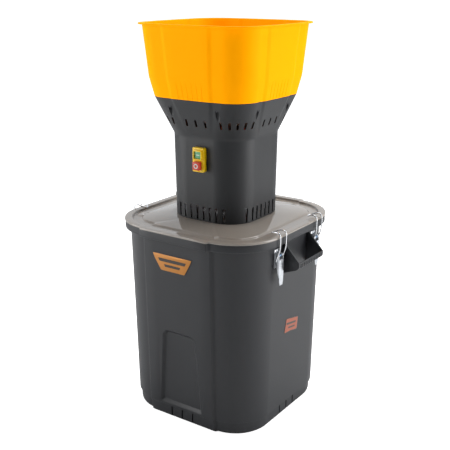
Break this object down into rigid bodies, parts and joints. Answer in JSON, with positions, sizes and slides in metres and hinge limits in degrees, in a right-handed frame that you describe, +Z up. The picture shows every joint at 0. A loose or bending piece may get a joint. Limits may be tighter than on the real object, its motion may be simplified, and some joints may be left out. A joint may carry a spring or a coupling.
{
  "type": "electric grain mill",
  "caption": "Square feed bin with side handles and wire latches, carrying a lidded electric grain milling head with vented motor column and open hopper.",
  "frame": {"origin": "centre of the bounding box at floor level, under the middle of the bin", "axes": "+Z up, -Y the front with the switch and badge, +X and -X the sides with handles and latches"},
  "size_m": [0.462, 0.415, 0.901],
  "materials": {
    "armature": "laminations with windings",
    "badge": "orange metallic badge",
    "bearing_steel": "ground bearing steel",
    "bin": "satin moulded charcoal plastic",
    "brush_holders": "dark moulded plastic",
    "cable_gland": "black nylon",
    "commutator": "turned copper",
    "cooling_fan": "off-white nylon",
    "feed_chute": "moulded grey plastic",
    "feed_shutter": "rolled zinc plated sheet",
    "field_coils": "red varnished windings",
    "hopper": "satin amber plastic",
    "hopper_screws": "blackened steel",
    "latch_pins": "blue zinc plate",
    "latch_wire": "zinc plated wire",
    "latch_zinc": "bright zinc plate",
    "lid": "glossy warm grey plastic",
    "lid_gasket": "soft black rubber",
    "mill_blade": "hardened steel",
    "motor_housing": "satin moulded charcoal plastic",
    "screw_steel": "plated steel",
    "shaft_steel": "turned steel",
    "sheet_steel": "rolled steel sheet",
    "shield_aluminium": "die cast",
    "shutter_guides": "moulded plastic",
    "side_label": "printed film",
    "start_button": "green plastic",
    "stator_core": "varnished laminations",
    "stop_button": "red plastic",
    "switch_base": "satin yellow plastic",
    "wing_nuts": "cast brass"
  },
  "bodies": {
    "bin_and_head": {"bin": "bin", "bin_rim": "bin", "bin_handle_right": "bin", "bin_handle_left": "bin", "lid": "lid", "lid_gasket": "lid_gasket", "motor_housing": "motor_housing", "hopper": "hopper", "hopper_screws": "hopper_screws", "shutter_guides": "shutter_guides", "feed_chute": "feed_chute", "head_bolts": "screw_steel", "switch_base": "switch_base", "cable_gland": "cable_gland", "motor_plate": "sheet_steel", "lower_end_shield": "shield_aluminium", "lower_bearing": "bearing_steel", "stator_core": "stator_core", "field_coils": "field_coils", "brush_holders": "brush_holders", "upper_bearing": "bearing_steel", "upper_end_shield": "shield_aluminium", "tie_rods": "screw_steel", "sieve_ring": "sheet_steel", "chamber_floor": "sheet_steel", "chamber_studs": "screw_steel", "wing_nuts": "wing_nuts", "latch_bracket_1": "latch_zinc", "latch_bracket_2": "latch_zinc", "latch_bracket_3": "latch_zinc", "latch_bracket_4": "latch_zinc", "latch_rivets": "latch_zinc", "latch_pins": "latch_pins", "badge": "badge", "side_label": "side_label"},
    "start_button": {"start_button": "start_button"},
    "stop_button": {"stop_button": "stop_button"},
    "rotor": {"cooling_fan": "cooling_fan", "armature": "armature", "commutator": "commutator", "motor_shaft": "shaft_steel", "mill_blade": "mill_blade", "blade_hub": "shaft_steel", "blade_nut": "shaft_steel"},
    "shutter": {"feed_shutter": "feed_shutter"},
    "lever_1": {"latch_lever_1": "latch_zinc"},
    "bail_1": {"latch_bail_1": "latch_wire"},
    "lever_2": {"latch_lever_2": "latch_zinc"},
    "bail_2": {"latch_bail_2": "latch_wire"},
    "lever_3": {"latch_lever_3": "latch_zinc"},
    "bail_3": {"latch_bail_3": "latch_wire"},
    "lever_4": {"latch_lever_4": "latch_zinc"},
    "bail_4": {"latch_bail_4": "latch_wire"}
  },
  "joints": [
    {"name": "start_press", "type": "slide", "parent": "bin_and_head", "child": "start_button", "axis": [0, 1, 0], "range_m": [0, 0.003], "stiffness_N_per_m": 400},
    {"name": "stop_press", "type": "slide", "parent": "bin_and_head", "child": "stop_button", "axis": [0, 1, 0], "range_m": [0, 0.003], "stiffness_N_per_m": 400},
    {"name": "rotor_spin", "type": "hinge", "parent": "bin_and_head", "child": "rotor", "pos_m": [0, 0, 0.6], "axis": [0, 0, 1], "continuous": true},
    {"name": "shutter_pull", "type": "slide", "parent": "bin_and_head", "child": "shutter", "axis": [0, 1, 0], "range_m": [0, 0.04]},
    {"name": "lever_1_flip", "type": "hinge", "parent": "bin_and_head", "child": "lever_1", "pos_m": [0.1955, -0.08, 0.421], "axis": [0, -1, 0], "range_deg": [0, 150]},
    {"name": "bail_1_swing", "type": "hinge", "parent": "lever_1", "child": "bail_1", "pos_m": [0.193, -0.08, 0.409], "axis": [0, -1, 0], "range_deg": [-180, 0]},
    {"name": "lever_2_flip", "type": "hinge", "parent": "bin_and_head", "child": "lever_2", "pos_m": [0.1955, 0.08, 0.421], "axis": [0, -1, 0], "range_deg": [0, 150]},
    {"name": "bail_2_swing", "type": "hinge", "parent": "lever_2", "child": "bail_2", "pos_m": [0.193, 0.08, 0.409], "axis": [0, -1, 0], "range_deg": [-180, 0]},
    {"name": "lever_3_flip", "type": "hinge", "parent": "bin_and_head", "child": "lever_3", "pos_m": [-0.1955, -0.08, 0.421], "axis": [0, 1, 0], "range_deg": [0, 150]},
    {"name": "bail_3_swing", "type": "hinge", "parent": "lever_3", "child": "bail_3", "pos_m": [-0.193, -0.08, 0.409], "axis": [0, 1, 0], "range_deg": [-180, 0]},
    {"name": "lever_4_flip", "type": "hinge", "parent": "bin_and_head", "child": "lever_4", "pos_m": [-0.1955, 0.08, 0.421], "axis": [0, 1, 0], "range_deg": [0, 150]},
    {"name": "bail_4_swing", "type": "hinge", "parent": "lever_4", "child": "bail_4", "pos_m": [-0.193, 0.08, 0.409], "axis": [0, 1, 0], "range_deg": [-180, 0]}
  ],
  "couplings": [
    {"joint": "bail_1_swing", "follows": "lever_1_flip", "ratio": -1.2},
    {"joint": "bail_2_swing", "follows": "lever_2_flip", "ratio": -1.2},
    {"joint": "bail_3_swing", "follows": "lever_3_flip", "ratio": -1.2},
    {"joint": "bail_4_swing", "follows": "lever_4_flip", "ratio": -1.2}
  ]
}
